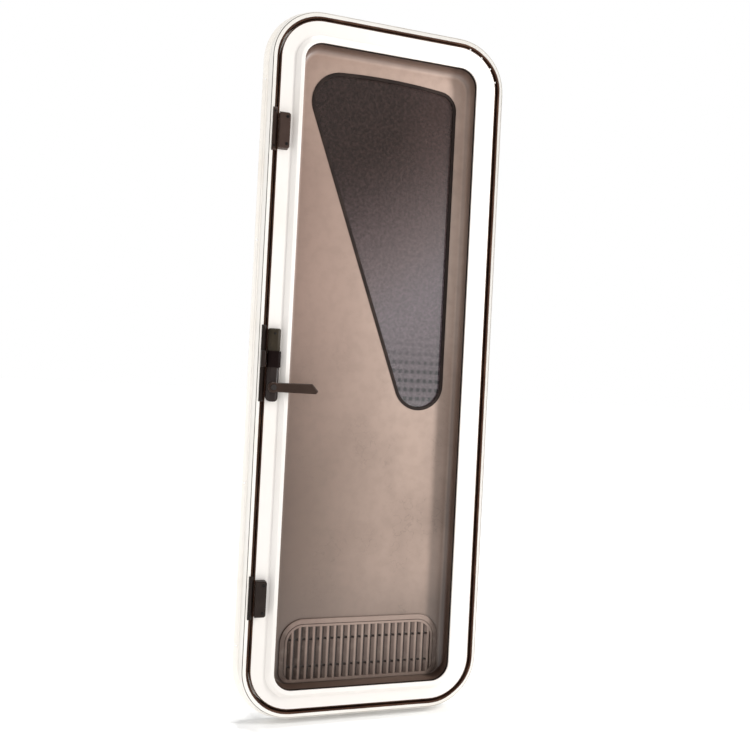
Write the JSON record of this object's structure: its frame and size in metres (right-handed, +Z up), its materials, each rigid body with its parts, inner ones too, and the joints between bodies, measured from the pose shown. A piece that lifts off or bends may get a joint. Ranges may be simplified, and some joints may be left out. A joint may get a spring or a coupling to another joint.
{
  "type": "caravan entry door",
  "caption": "Outward-opening caravan entry door: white jamb with wall flange, seal, leaf with recessed panel, wedge window with insect mesh, louvred vent and multipoint lock with lever.",
  "frame": {"origin": "on the seat face of the wall flange, in the middle of the flange's bottom run", "axes": "+X from the lock side to the hinge side as seen from indoors, +Y outdoors, +Z up"},
  "size_m": [0.646, 0.1335, 1.774],
  "materials": {
    "white_jamb": "satin",
    "white_moulding": "satin",
    "white_skin": "gloss",
    "seal_rubber": "matte",
    "taupe_panel": "satin",
    "core_foam": "matte",
    "tinted_pane": "gloss",
    "insect_mesh": "matte",
    "vent_plastic": "satin",
    "vent_gauze": "matte",
    "lock_black": "satin",
    "hinge_metal": "satin",
    "bright_metal": "polished"
  },
  "bodies": {
    "frame": {"jamb_frame": "white_jamb", "jamb_seal": "seal_rubber", "upper_keeper": "lock_black", "lower_keeper": "lock_black", "lock_keeper": "lock_black", "upper_hinge_base": "hinge_metal", "middle_hinge_base": "hinge_metal", "lower_hinge_base": "hinge_metal"},
    "leaf": {"leaf_frame": "white_moulding", "leaf_seal": "seal_rubber", "panel_gasket": "seal_rubber", "inner_panel": "taupe_panel", "door_core": "core_foam", "outer_skin": "white_skin", "window_edging": "seal_rubber", "window_pane": "tinted_pane", "window_mesh": "insect_mesh", "vent_grille": "vent_plastic", "vent_gauze": "vent_gauze", "outer_vent": "white_moulding", "upper_latch_case": "lock_black", "lower_latch_case": "lock_black", "lock_case": "lock_black", "lock_collar": "lock_black", "lock_barrel": "lock_black", "upper_hinge_flap": "hinge_metal", "middle_hinge_flap": "hinge_metal", "lower_hinge_flap": "hinge_metal", "outer_handle_plate": "lock_black", "outer_grip": "lock_black", "key_cylinder": "bright_metal"},
    "lever": {"lever_arm": "lock_black", "lever_cap": "lock_black"}
  },
  "joints": [
    {"name": "door_swing", "type": "hinge", "parent": "frame", "child": "leaf", "pos_m": [0.307, 0.017, 0.881], "axis": [0, 0, -1], "range_deg": [0, 170]},
    {"name": "lever_turn", "type": "hinge", "parent": "leaf", "child": "lever", "pos_m": [-0.2695, -0.064, 0.821], "axis": [0, 1, 0], "range_deg": [0, 45]}
  ]
}
